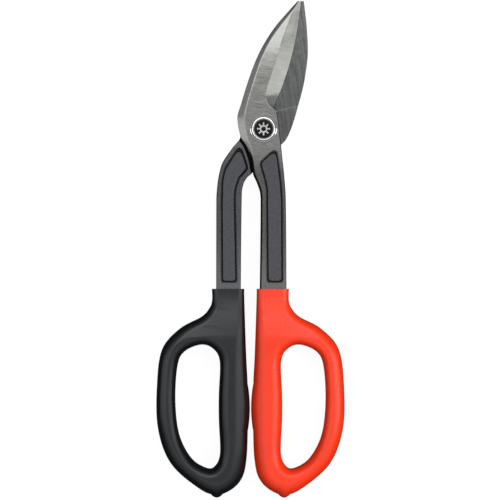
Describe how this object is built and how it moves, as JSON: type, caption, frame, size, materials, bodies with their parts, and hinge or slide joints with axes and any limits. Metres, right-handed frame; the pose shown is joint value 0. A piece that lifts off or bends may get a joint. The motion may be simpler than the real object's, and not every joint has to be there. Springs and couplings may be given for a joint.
{
  "type": "tinner's snips",
  "caption": "Forged single-pivot sheet-metal snips with short bevelled blades, long inlaid shanks and large soft-covered finger bows.",
  "frame": {"origin": "on the pivot axis, level with the bolt end and the undersides of the grips, which the tool lies on", "axes": "+Z along the pivot axis, out of the bolt head; +Y towards the blade tips; +X towards the grip of the upper half"},
  "size_m": [0.1224, 0.3236, 0.022],
  "materials": {
    "forged_steel": "brushed forged steel, bare",
    "dark_forged_steel": "darker brushed forged steel",
    "chrome": "polished plate",
    "zinc_plate": "zinc plated",
    "black_vinyl": "satin soft vinyl",
    "orange_red_vinyl": "satin soft vinyl",
    "dark_grey_inlay": "fine pebbled grain",
    "black_cap": "gloss black"
  },
  "bodies": {
    "lower_half": {"lower_blade_half": "dark_forged_steel", "black_grip": "black_vinyl", "left_front_inlay": "dark_grey_inlay", "left_back_inlay": "dark_grey_inlay", "pivot_bolt": "chrome", "bolt_cap": "black_cap", "cap_badge": "chrome", "spring_washer": "zinc_plate", "pivot_nut": "zinc_plate"},
    "upper_half": {"upper_blade_half": "forged_steel", "red_grip": "orange_red_vinyl", "right_front_inlay": "dark_grey_inlay", "right_back_inlay": "dark_grey_inlay"}
  },
  "joints": [
    {"name": "blade_pivot", "type": "hinge", "parent": "lower_half", "child": "upper_half", "pos_m": [0, 0, 0.011], "axis": [0, 0, 1], "range_deg": [0, 35]}
  ]
}
